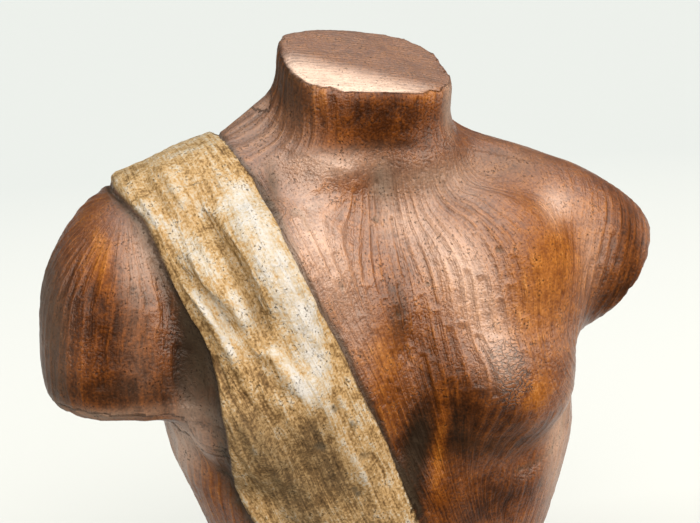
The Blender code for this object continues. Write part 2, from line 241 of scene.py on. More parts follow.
# Marks in the clay: path, reach to each side, height in millimetres
clayMarks = [
    ([(-15.5, 81.9), (-13.7, 83.0), (-12.1, 84.2)], 0.35, 0.5, 0.7),
    ([(-12.1, 84.2), (-8.0, 82.6), (-4.0, 81.0)], 0.5, 0.5, 0.5),
    ([(-12.8, 76.6), (-12.0, 76.7), (-11.4, 76.0), (-11.2, 75.0)], 0.36, 0.36, -0.8),
    ([(-12.4, 75.4), (-11.9, 75.2)], 0.6, 0.6, -0.3),
    ([(-16.5, 80.0), (-15.2, 77.2), (-14.4, 75.0), (-13.4, 72.6)], 0.4, 0.5, -0.9),
    ([(26.9, 51.7), (28.6, 45.0), (28.3, 40.1), (25.4, 37.8), (22.0, 37.0), (19.4, 36.6)], 0.6, 0.6, -0.4),
    ([(-0.9, 74.5), (-0.6, 74.3)], 0.32, 0.32, -0.8),
    ([(-7.4, 67.2), (-7.1, 66.9)], 0.32, 0.32, -0.6),
    ([(14.1, 70.8), (14.6, 70.7)], 0.32, 0.32, -0.8),
    ([(0.6, 62.6), (0.8, 62.3)], 0.32, 0.32, -0.5),
    ([(4.8, 66.2), (5.0, 66.1)], 0.32, 0.32, -0.6),
    ([(-11.4, 46.4), (-10.5, 46.0)], 0.45, 0.45, -1.1),
    ([(-5.2, 43.9), (-4.4, 44.0)], 0.36, 0.36, -1.0),
    ([(-6.0, 39.2), (-5.4, 38.0)], 0.4, 0.4, -1.0),
    ([(-9.6, 51.6), (-9.1, 51.2)], 0.4, 0.4, -0.9),
    ([(-6.7, 48.8), (-6.3, 48.4)], 0.36, 0.36, -0.8),
]

# The scratched patch on the breast: its middle in x and z, its reach in each, and its lean in radians
scratchedPatch = {"middle": (15.4, 54.4), "reach": (2.6, 5.0), "lean": 0.32}

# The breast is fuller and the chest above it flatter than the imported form: middle and reach in x and z, and
# millimetres
fullness = [((13.5, 52.5), (8.5, 8.0), 5.0), ((8.0, 73.0), (9.0, 6.0), -1.5)]

# Broad areas of the glaze: x, z, reach in x and z, then how much lighter it is (-1 to 1), how much grey
# patina it has, how far it is rubbed down to a chalky pink, and how much glossier it is. The lighter column
# holds the glaze's own tones and also painted shade and light: darker on the neck's front, under the breast
# and under the arm, which face down, and lighter on the raised shoulder. The grey column also paints the grey
# reflection along the figure's edges and the neck's sides, and the rubbed column also paints the pale sheen
# of the lit band across the chest and shoulder
glazeTonesAndPaintedLight = [
    (0.5, 88.2, 8.8, 4.2, -0.46, 0.0, 0.0, -1.0),  # neck
    (-7.0, 85.2, 3.6, 2.4, 0.14, 0.0, 0.0, -0.4),
    (6.5, 91.0, 3.0, 1.3, 0.60, 0.0, 0.0, 0.0),
    (-7.9, 92.6, 0.8, 4.0, 0.40, 0.0, 0.0, 0.0),
    (-11.2, 92.0, 2.0, 5.0, -0.20, 0.70, 0.0, -0.6),
    (10.6, 89.0, 1.2, 4.0, 0.0, 0.60, 0.35, -0.2),
    (0.0, 84.3, 7.0, 0.8, -0.22, 0.10, 0.0, -0.5),
    (-7.0, 82.0, 6.0, 1.7, 0.05, 0.15, 0.40, 0.2),  # collar and the slopes beside the neck
    (6.5, 79.6, 6.0, 2.4, 0.0, 0.45, 0.22, 0.0),
    (0.4, 79.0, 1.6, 3.2, -0.05, 0.85, 0.12, -0.3),
    (-14.5, 79.4, 0.9, 2.6, -0.30, 0.80, 0.0, -0.6),
    (-16.5, 85.5, 6.0, 3.4, 0.0, 0.35, 0.16, 0.0),
    (20.0, 80.0, 8.0, 2.6, 0.0, 0.35, 0.10, -0.3),
    (12.5, 77.0, 4.0, 3.0, 0.0, 0.0, 0.14, 0.0),
    (-11.0, 75.0, 4.0, 5.5, 0.05, 0.05, 0.45, 0.2),  # chest
    (-7.8, 67.5, 3.6, 6.5, 0.0, 0.10, 0.26, 0.2),
    (-4.6, 59.5, 3.4, 5.0, 0.02, 0.08, 0.10, -0.2),
    (-1.6, 57.0, 2.0, 8.0, 0.16, 0.0, 0.0, -0.5),
    (0.7, 63.0, 1.5, 4.4, -0.26, 0.35, 0.0, -0.3),
    (3.5, 74.0, 5.0, 3.2, 0.05, 0.05, 0.34, 0.1),
    (8.0, 69.5, 4.0, 4.0, 0.10, 0.0, 0.40, 0.1),
    (11.0, 64.5, 3.2, 4.2, 0.08, 0.0, 0.36, 0.2),
    (13.2, 59.4, 2.8, 3.4, 0.06, 0.0, 0.32, 0.2),
    (14.6, 55.0, 2.4, 2.8, 0.0, 0.05, 0.16, 0.1),
    (19.5, 61.0, 4.5, 7.0, 0.12, 0.0, 0.04, -0.4),
    (5.0, 56.0, 3.5, 5.0, -0.16, 0.10, 0.0, -0.4),
    (8.5, 50.0, 4.5, 4.6, -0.36, 0.05, 0.0, -0.8),  # below the breast
    (8.2, 45.6, 4.0, 4.0, -0.42, 0.20, 0.0, -0.7),
    (14.8, 42.5, 7.0, 2.8, -0.42, 0.35, 0.0, -0.5),
    (16.0, 47.2, 3.4, 2.2, -0.34, 0.15, 0.0, -0.5),
    (19.2, 50.6, 2.4, 2.8, 0.40, 0.0, 0.0, -0.4),
    (3.5, 44.0, 1.7, 5.0, -0.85, 0.55, 0.0, -0.9),
    (2.0, 36.0, 2.4, 5.6, -1.00, 0.50, 0.0, -0.9),
    (6.4, 44.0, 0.9, 7.0, 0.62, -0.20, 0.0, -0.4),
    (7.2, 34.8, 3.0, 4.2, -0.10, 0.0, 0.0, -0.6),
    (16.0, 33.0, 6.0, 4.4, -0.42, 0.10, 0.0, -0.6),
    (27.5, 40.0, 2.8, 12.0, 0.05, 0.40, 0.42, 0.0),
    (23.0, 69.0, 6.5, 7.5, 0.28, 0.0, 0.0, -0.8),  # raised shoulder
    (25.4, 74.5, 2.8, 2.0, 0.0, 0.0, 0.30, 0.6),
    (30.0, 68.0, 2.2, 5.0, 0.10, 0.0, 0.20, -0.2),
    (37.5, 68.0, 3.2, 8.0, -0.20, 0.05, 0.0, -0.8),
    (34.5, 60.5, 4.5, 4.0, -0.26, 0.20, 0.0, -0.5),
    (-44.4, 63.0, 1.9, 13.0, -0.28, 0.75, 0.05, -0.5),  # cut-off arm
    (-37.6, 71.0, 1.8, 5.0, 0.50, 0.0, 0.0, -0.3),
    (-38.0, 63.0, 5.0, 11.0, -0.42, 0.0, 0.0, -0.7),
    (-33.0, 71.0, 2.4, 5.0, 0.04, 0.05, 0.26, 0.1),
    (-33.6, 60.5, 2.6, 6.5, -0.06, 0.0, 0.08, -0.6),
    (-36.0, 54.6, 9.0, 2.6, -0.36, 0.20, 0.0, -0.7),
    (-38.0, 51.4, 10.0, 1.1, 0.30, 0.85, 0.20, 0.2),
    (-27.2, 59.0, 2.2, 10.0, -0.95, 0.45, 0.0, -0.7),
    (-27.6, 43.5, 2.2, 7.0, 0.0, 0.45, 0.60, 0.0),
    (-24.4, 37.5, 1.8, 8.0, 0.10, 0.10, 0.0, -0.4),
    (3.4, 14.0, 18.0, 16.0, -0.12, 0.10, 0.0, -0.2),
]
# The same for the slip on the sash, along paths: path, reach, how much lighter, how much patina. The lighter
# column also paints the highlight on the cream roll beside the neck and the shade on the low sides of the
# folds
slipTonesAndPaintedLight = [
    ([(-19.6, 77.6), (-17.2, 73.6), (-14.9, 68.4), (-12.9, 63.0), (-12.0, 55.0)], 2.0, 0.80, 0.0),
    ([(-23.2, 76.0), (-21.8, 72.6), (-20.2, 70.2), (-18.9, 66.8), (-17.6, 64.0)], 0.9, -0.10, 0.0),
    ([(-18.6, 66.0), (-17.4, 64.0)], 0.9, -0.10, 0.0),
    ([(-27.4, 64.4), (-25.0, 59.6), (-23.0, 55.0)], 1.2, -0.30, 0.0),
    ([(-24.4, 66.8), (-22.6, 63.4), (-21.2, 60.4)], 1.0, 0.50, 0.0),
    ([(-25.9, 67.6), (-24.0, 63.6), (-22.2, 60.0)], 0.35, 0.70, 0.0),
    ([(-21.9, 67.4), (-20.3, 64.2)], 0.9, 0.50, 0.0),
    ([(-31.6, 76.6), (-29.4, 75.0), (-26.8, 73.6), (-24.4, 70.4)], 1.1, 0.45, 0.0),
    ([(-27.5, 79.5), (-24.5, 76.0)], 1.1, 0.25, 0.0),
    ([(-17.4, 60.4), (-14.6, 56.2), (-13.0, 53.4)], 0.8, 0.70, 0.0),
    ([(-21.4, 57.0), (-16.8, 53.6)], 1.8, -0.20, 0.0),
    ([(-13.0, 49.0), (-8.4, 40.0)], 2.2, -0.36, 0.15),
    ([(-12.0, 49.0), (-4.0, 34.0), (4.0, 18.0)], 4.0, -0.22, 0.30),
    ([(-21.0, 50.0), (-15.0, 40.0), (-8.0, 26.0)], 3.4, -0.34, 0.55),
    ([(-10.4, 51.6), (-7.4, 45.4), (-5.0, 40.0)], 0.9, 0.50, 0.0),
]


# The depth inside the sash that is kept for points with no sash near them
farFromSash = -4.0


def border(heights, corners):
    return np.interp(heights, *zip(*corners))


# How far each point lies inside the sash's edge, and whether the arm's side is the nearer one. The borders
# lean, so the way straight across to them is a little shorter than the way along x
def sashDepth(points):
    fromArm = (points[:, 0] - border(points[:, 2], armSide)) * 0.93
    fromNeck = (border(points[:, 2], neckSide) - points[:, 0]) * 0.90
    return np.minimum(fromArm, fromNeck), fromArm < fromNeck


# 0 on the neck's cut, where the sash's borders mean nothing, and 1 below it
def awayFromCut(points):
    return 1 - ease(points[:, 2], 89, 92)


# Splits every edge of the faces that keep() picks, for a finer mesh there
def refine(piece, keep):
    form = bmesh.new()
    form.from_mesh(piece.data)
    edges = list({edge for face in form.faces if keep(face) for edge in face.edges})
    bmesh.ops.subdivide_edges(form, edges=edges, cuts=1, use_grid_fill=True)
    form.to_mesh(piece.data)
    form.free()


def onFront(face):
    towards = Vector((-0.25, -0.92, 0.30))
    return face.normal.dot(towards) > 0.12 and face.calc_center_median().z > 0.150


def onChestOrFolds(face):
    x, y, z = (face.calc_center_median() - neckMiddle) / percent
    lowest = 52 if x < border(z, neckSide) else 48
    return border(z, armSide) < x < 18 and lowest < z < 80 and face.normal.y < -0.3


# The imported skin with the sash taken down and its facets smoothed, finer on the front of the figure
def makeBareTorso():
    piece = evenCopy("torso", "torso_skin", torsoSizes["grain"])
    points, outward = skinArrays(piece.data)
    packedSash = ease(sashDepth(points)[0], -0.5, 0.7) * torsoSizes["sashThickness"]
    moveSkin(piece.data, -packedSash * awayFromCut(points), "torso")
    rim = ease(points[:, 2], 86, 89)
    smoothed(piece, torsoSizes["softenPasses"], 1 - 0.65 * rim)
    refine(piece, onFront)
    smoothed(piece, 3)
    refine(piece, onChestOrFolds)
    return piece


# The tool was lifted and set down again: each flute is a row of strokes, pressed to different depths
def toolStrokes(flutes, along):
    rows, cells, ending = 397, 61, 0.09
    starts, depths = np.random.default_rng(4).random((2, rows, cells))
    row = np.floor(flutes).astype(int) % rows
    step = along * percent / millimetre / torsoSizes["strokeLength"] + 7 * starts[row, 0]
    cell = np.floor(step).astype(int) % cells
    within = step - np.floor(step)
    ends = ease(within, 0, ending) * ease(1 - within, 0, ending)
    return (0.35 + 0.85 * depths[row, cell]) * (0.30 + 0.70 * ends)


# Where the comb ran: how far each point lies across its strokes, how far along them, and how deep the comb
# pressed
def combStrokes(points, outward, depth):
    x, y, z = points.T
    facing = ease(-outward[:, 1], 0.1, 0.6)

    # Trunk: strokes down the body, leaning with the sash beside it and bending round the raised arm's stump
    turns = np.linspace(-math.pi, math.pi, 721)
    arc = np.cumsum(np.hypot(29 * np.cos(turns), 16.5 * np.sin(turns))) * (turns[1] - turns[0])
    arc -= arc[len(arc) // 2]
    trunk = np.interp(np.arctan2((x - 2) / 29, (0.5 - y) / 16.5), turns, arc)
    trunk += facing * 0.16 * ease(z, 30, 60) * (z - 65)
    beyond = x - 17.7 + 0.4325 * z  # from a straight line along the sash
    beside = facing * (1 - ease(beyond, 1, 13)) * (beyond > -3)
    trunk += beside * (beyond - 12.85 - trunk)
    stump = 0.95 * x - 0.31 * z + 19.7
    trunk += ease(x, 14, 30) * ease(z, 46, 58) * (stump - trunk)

    # Arm: strokes that meet at the top of the shoulder
    armX = np.interp(z, [49, 60, 70, 78], [-35.3, -35.2, -34.4, -34.0])
    armY = np.interp(z, [49, 66, 78], [-2.0, -2.0, -5.5])
    arm = np.arctan2(x - armX, armY - y) * 8.5
    armEnd = 0.75 * (y - z)

    # Neck: strokes down it that fan out over the shoulders, and straight ones across the cut
    neck = np.arctan2(x - 0.3, 0.3 - y) * 10
    neckTop = 2.0 * (y + 0.16 * x)
    stumpEnd = 1.1 * (y - 0.3 * z)

    # Each point takes the strokes with the highest score there, in the order of the strokes above
    armAt, armEndAt, neckCutAt = 1, 2, 4
    never, always = -9, 20
    scores = np.array([
        np.zeros(len(x)),
        np.minimum.reduce([border(z, armSide) - x - 0.3, z - 49.6, -24 - x]),
        np.where((x < -23) & (z > 45) & (z < 56), (-outward[:, 2] - 0.35) * 8, never),
        (z - 83.8 + 0.25 * np.maximum(np.abs(x) - 8, 0)) / 1.5,
        np.where(z > 88, (outward[:, 2] - 0.55) * 12, never),
        np.where(x > 33, (outward @ np.array([0.80, 0.10, -0.59]) - 0.88) * 20, never),
    ])
    for cutAt in (armEndAt, neckCutAt):
        scores[cutAt] += np.where(scores[cutAt] > 0, always, 0)
    chosen = scores.argmax(0)
    ranked = np.sort(scores, 0)
    apart = ease(ranked[-1] - ranked[-2], 0.0, 0.9)
    across = np.choose(chosen, [trunk, arm, armEnd, neck, neckTop, stumpEnd])
    along = np.choose(chosen, [z, z, x, z + np.hypot(x, y) * 0.5, x, x])

    # Pressed lightly on the throat, the collar, the raised shoulder and the arm, and where strokes meet
    light = 1 - 0.9 * bell(np.hypot(x / 9.5, (z - 86.5) / 4.5), 1) * facing
    light *= 1 - 0.8 * bell(np.hypot((x - 1) / 13, (z - 81.4) / 2.4), 1) * facing
    light *= 1 - 0.7 * bell(np.hypot((x - 22) / 6, (z - 71) / 7), 1) * facing
    light *= 1 - 0.70 * ease(x, 10, 20) * ease(z, 70, 78)
    light *= 1 - 0.35 * bell(np.hypot((x + 1) / 5, (z - 79) / 3), 1) * facing
    light *= 1 - 0.45 * ease(x, 14, 24) * (1 - ease(z, 50, 62)) * facing
    light *= np.where(chosen == armAt, ease(np.hypot(x - armX, y - armY), 1.5, 6), 1)
    light *= np.where(chosen == neckCutAt, 0.7, 1)
    seam = np.abs(np.arctan2(x - 2, 0.5 - y)) > math.pi - 0.12
    light *= np.where(seam & (chosen != neckCutAt), 0.0, 1)

    # On the sash the same comb left fainter streaks along the band, deepest in its lower half
    onSash = ease(depth, -0.1, 0.2)
    across += onSash * (beyond * 0.9 - across)
    across += 0.5 * lumps(points, 11.0, 3) + 0.10 * lumps(points, 2.6, 4)
    drawn = np.stack([across, 0.11 * along, 0.3 * outward[:, 1]], 1)
    across += 0.4 * lumps(drawn, 1.7, 9)
    flutes = across * percent / millimetre / torsoSizes["combPitch"]
    pressed = apart * light * (0.75 + 0.45 * lumps(points, 7.0, 1)) * toolStrokes(flutes, along) * 1.25
    onBand = 0.45 + 0.40 * (1 - ease(z, 48, 60)) + 0.40 * lumps(points, 4.0, 2)
    pressed += onSash * (onBand - pressed)
    return flutes, along, np.clip(pressed, 0, 1)


# Height of the comb's flutes, 0 on their ridges and -1 at their bottoms
def fluteProfile(flutes):
    return -np.sin(np.mod(flutes, 1) ** 0.7 * math.pi)


# 1 inside the scratched patch and 0 outside it, with a ragged edge
def inPatch(points):
    x, z = (points[:, [0, 2]] - scratchedPatch["middle"]).T
    lean = scratchedPatch["lean"]
    sideways = x * math.cos(lean) + z * math.sin(lean)
    upward = z * math.cos(lean) - x * math.sin(lean)
    reachSideways, reachUpward = scratchedPatch["reach"]
    apart = np.maximum(np.abs(sideways) / reachSideways, np.abs(upward) / reachUpward)
    return 1 - ease(apart + 0.2 * lumps(points, 1.6, 15), 0.7, 1.05)


def makeTorso(material):
    piece = makeBareTorso()
    mesh = piece.data
    points, outward = skinArrays(mesh)
    depth, armEdge = sashDepth(points)
    depth = depth + 0.10 * lumps(points, 2.2, 5)
    belowNeck = awayFromCut(points)
    onSash = ease(depth, -0.15, 0.25) * belowNeck
    patch = inPatch(points) * ease(-outward[:, 1], 0.2, 0.5)

    thick = torsoSizes["sashThickness"]
    sash = thick * (0.78 * ease(depth, -0.18, 0.30) + 0.22 * ease(depth, 0.1, 1.3))
    folds = sum(stroke(points, outward, *fold) for fold in frontFolds)
    folds = folds + sum(stroke(points, outward, *fold, back) for fold in backFolds)
    folds = torsoSizes["foldHeight"] * folds * ease(depth, 0.15, 1.0)
    groove = -np.where(armEdge, 1.2 * bell(depth + 0.55, 0.6), 1.3 * bell(depth + 0.35, 0.35))
    marks = sum(stroke(points, outward, *mark) for mark in clayMarks)
    swell = 0.45 * lumps(points, 5.0, 6) * (1 - onSash) + 0.35 * lumps(points, 2.4, 7) * onSash
    for middle, reach, height in fullness:
        here = bell(np.linalg.norm((points[:, [0, 2]] - middle) / reach, axis=1), 1)
        swell += height * here * ease(-outward[:, 1], 0.1, 0.6) * (1 - onSash)
    swell += torsoSizes["clayLumps"] * lumps(points, 1.1, 8) * (0.5 + 0.7 * onSash)

    # The cut across the neck: a strip along its front edge slopes down, and its far right corner lies lower
    x, y, z = points.T
    onCut = ease(outward[:, 2], 0.5, 0.8) * ease(z, 87, 89)
    frontStrip = onCut * (1 - ease(y + 0.5 * x, -8.5, -2.5))
    cut = -1.8 * frontStrip - 1.4 * onCut * ease(x + 0.4 * y, 3, 9)
    onRim = bell(outward[:, 2] - 0.45, 0.3) * ease(z, 88, 90) * ease(-outward[:, 1], 0, 0.4)
    ragged = 0.6 * lumps(points, 0.9, 14) * onRim

    flutes, along, pressed = combStrokes(points, outward, depth)
    pressed *= 1 - 0.8 * patch
    combed = torsoSizes["combDepth"] * pressed * fluteProfile(flutes) * (1 - 0.4 * onSash) * (1 - onCut)
    relief = (sash + folds + groove) * belowNeck + marks + swell + cut + ragged - 0.3 + combed
    moveSkin(mesh, relief, "torso")

    # Tones that the glaze and the slip took and where dirt stayed, together with the painted light, shade and
    # grey reflection that the tables above lay on
    facing = ease(outward @ np.array([-0.27, -0.93, 0.25]), -0.15, 0.25)
    changes = np.zeros((4, len(x)))
    for atX, atZ, reachX, reachZ, *change in glazeTonesAndPaintedLight:
        here = bell(np.hypot((x - atX) / reachX, (z - atZ) / reachZ), 1) * facing * (1 - onCut)
        changes += np.outer(change, here)
    shade, dirt, rubbed, gloss = changes
    # Painted light on the neck's cut: a pale highlight on its front strip and a dull grey on the rest of it
    rubbed += 0.08 * onCut + 0.95 * frontStrip
    dirt += 0.20 * (onCut - frontStrip)
    slip, slipDirt = np.zeros(len(x)), np.zeros(len(x))
    for path, reach, lighter, grey in slipTonesAndPaintedLight:
        here = bell(fromPath(points, path)[0], reach) * facing
        slip += lighter * here
        slipDirt += grey * here
    # Painted shade: the glaze is darkened in the groove beside the sash; on the sash the slip's tones, with
    # its painted highlight and shade, take over
    shade += onSash * (slip - shade) - 0.5 * (1 - onSash) * bell(depth + 0.3, 0.4) * belowNeck
    # Darker beside the sash, deepest on the arm's side: partly patina, partly painted shade in the crease
    besideSash = np.where(armEdge, bell(depth + 0.6, 1.3), 0.9 * bell(depth + 0.35, 0.5))
    dirt += onSash * (slipDirt - dirt)
    dirt += (1 - onSash) * besideSash * belowNeck
    # Darker in the marks' grooves, and painted shade in the hollows of the sash's folds
    dirt += 0.7 * ease(-marks, 0.15, 0.5) + 0.25 * onSash * ease(-folds, 0.5, 2.0)
    keepAttributes(mesh, {
        "combing": np.stack([flutes, along, pressed], 1),
        "sashDepth": np.clip(depth, farFromSash, -farFromSash) * belowNeck + farFromSash * (1 - belowNeck),
        "shade": shade,
        "dirt": np.clip(dirt, 0, 1),
        "rubbed": np.clip(rubbed * (1 - onSash), 0, 1),
        "gloss": np.clip(torsoSizes["gloss"] + gloss, 0.05, 1),
        "scratches": patch,
    })
    finishSkin(piece, material)
    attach(piece, "root")
    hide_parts("torso")


# Metres between points, then millimetres, and the share of the glaze's full gloss
plinthSizes = {"grain": 0.0020, "combPitch": 3.5, "combDepth": 0.30, "gloss": 0.6}


# The comb ran round the plinth's sides and straight across its top, and its upper edge is worn
def makePlinth(material):
    piece = evenCopy("plinth", "plinth_block", plinthSizes["grain"])
    smoothed(piece, 1)
    mesh = piece.data
    points, outward = skinArrays(mesh)
    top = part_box("plinth")[1].z / millimetre
    x, y, z = (points * percent + np.array(neckMiddle)).T / millimetre
    side = 1 - ease(np.abs(outward[:, 2]), 0.55, 0.85)
    across = side * z + (1 - side) * (y + 0.15 * x)
    flutes = (across + 1.2 * lumps(points, 9.0, 11)) / plinthSizes["combPitch"]
    pressed = np.clip(0.5 + 0.6 * lumps(points, 6.0, 12), 0, 1) * (1 - 0.8 * bell(side - 0.5, 0.2))
    paleShare = ease(z, top - 5, top - 1) * side
    relief = plinthSizes["combDepth"] * pressed * fluteProfile(flutes) + 0.25 * lumps(points, 3.0, 13) - 0.15
    relief *= ease(outward[:, 2], -0.9, -0.5)
    moveSkin(mesh, relief, "plinth")
    along = 0.28 * (x + y)  # a millimetre is about 0.28 hundredths
    keepAttributes(mesh, {
        "combing": np.stack([flutes, along, pressed], 1),
        "sashDepth": np.full(len(x), farFromSash),
        "shade": -0.28 + 0.25 * paleShare,
        # Greyer toward the foot of the sides
        "dirt": 0.25 + 0.3 * (1 - ease(z, 0, 8)) * side,
        "rubbed": 0.25 * paleShare,
        "gloss": np.full(len(x), plinthSizes["gloss"]),
        "scratches": np.zeros(len(x)),
    })
    finishSkin(piece, material)
    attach(piece, "root")
    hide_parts("plinth")


# Adds a shader node and returns one of its outputs, the first unless another is named. Settings are the
# node's properties; links are its sockets, each given a value or another node's output
def addNode(tree, kind, settings=None, links=None, output=None):
    node = tree.nodes.new("ShaderNode" + kind)
    for name, value in (settings or {}).items():
        setattr(node, name, value)
    for name, value in (links or {}).items():
        if isinstance(value, bpy.types.NodeSocket):
            tree.links.new(value, node.inputs[name])
        else:
            node.inputs[name].default_value = value
    if output:
        return node.outputs[output]
    return next((socket for socket in node.outputs if socket.enabled), None)


times, timesPlus = {"operation": "MULTIPLY"}, {"operation": "MULTIPLY_ADD"}
held = {"operation": "MULTIPLY_ADD", "use_clamp": True}  # the same, kept from 0 to 1
weighed = {"operation": "DOT_PRODUCT"}
soft = {"interpolation_type": "SMOOTHSTEP"}
mixed = {"data_type": "RGBA"}  # its sockets: 0 factor, 6 and 7 the two colours

glazeLook = {
    "tones": ["#1A0B03", "#3A1C05", "#63350C", "#8A541B", "#B07C42"],
    "toneStops": [0.0, 0.25, 0.5, 0.75, 1.0],
    "tone": 0.50,
    "shading": 0.62,  # share of the shades kept on the mesh
    "unevenness": (0.55, 0.40, 0.55),  # of the mottling, of broad patches and of streaks
    "details": (0.40, 0.55, -0.45),  # of the flutes' edges, of grit and of scratches
    # Patina's grey, also used for the painted grey reflection along the edges and painted shade in creases
    "patinaAndPaintedLight": "#382F24",
    # A chalky pink for rubbed glaze, also used as a painted sheen on the lit chest and shoulder
    "rubbed": "#C8AF9D",
    "flecks": "#180C04",
    "roughness": 0.42,
    "specular": 0.05,
    "coat": 1.0,
    "coatIor": 1.8,
    "coatRoughness": 0.25,
}
slipLook = {
    "tones": ["#3A2A16", "#6A5334", "#9C8259", "#A69D8B", "#AEAEAB"],
    "toneStops": [0.0, 0.28, 0.5, 0.74, 1.0],
    "tone": 0.50,
    "shading": 0.50,
    "unevenness": (0.85, 0.30, 0.75),
    "details": (0.28, 0.80, 0.0),
    # The slip's patina grey, also used for painted shade in the hollows of the folds
    "patinaAndPaintedLight": "#4A4336",
    "rubbed": "#DCD6C6",
    "flecks": "#2C2114",
    "roughness": 0.52,
    "coat": 0.09,
}
# Sizes in the clay's surface, and the heights of what is finer than the mesh, both in millimetres
surfaceSizes = {"grit": 1.3, "mottling": 7.0, "patches": 38.0, "flecks": 1.15, "scratches": 3.4}
fineHeights = {"flutes": -0.46, "streaks": 0.95, "grit": 0.50}
coarseHeights = {"mottling": 0.65, "flecks": -0.22, "scratches": -0.26}
# Greys across one flute, from a ridge at 0 to the next at 1: lighter on the ridge, where the glaze runs thin
# and a highlight is painted, and darker just past it, where a shadow is painted
fluteGreys = [(0.0, 0.84), (0.07, 0.74), (0.22, 0.42), (0.45, 0.42), (0.75, 0.50), (0.93, 0.74)]


# A ramp of greys or of colours, with stops as pairs of place and colour
def setRamp(socket, stops):
    ramp = socket.node.color_ramp
    while len(ramp.elements) < len(stops):
        ramp.elements.new(0.5)
    for element, (place, colour) in zip(ramp.elements, stops):
        element.position = place
        element.color = colour
    return socket


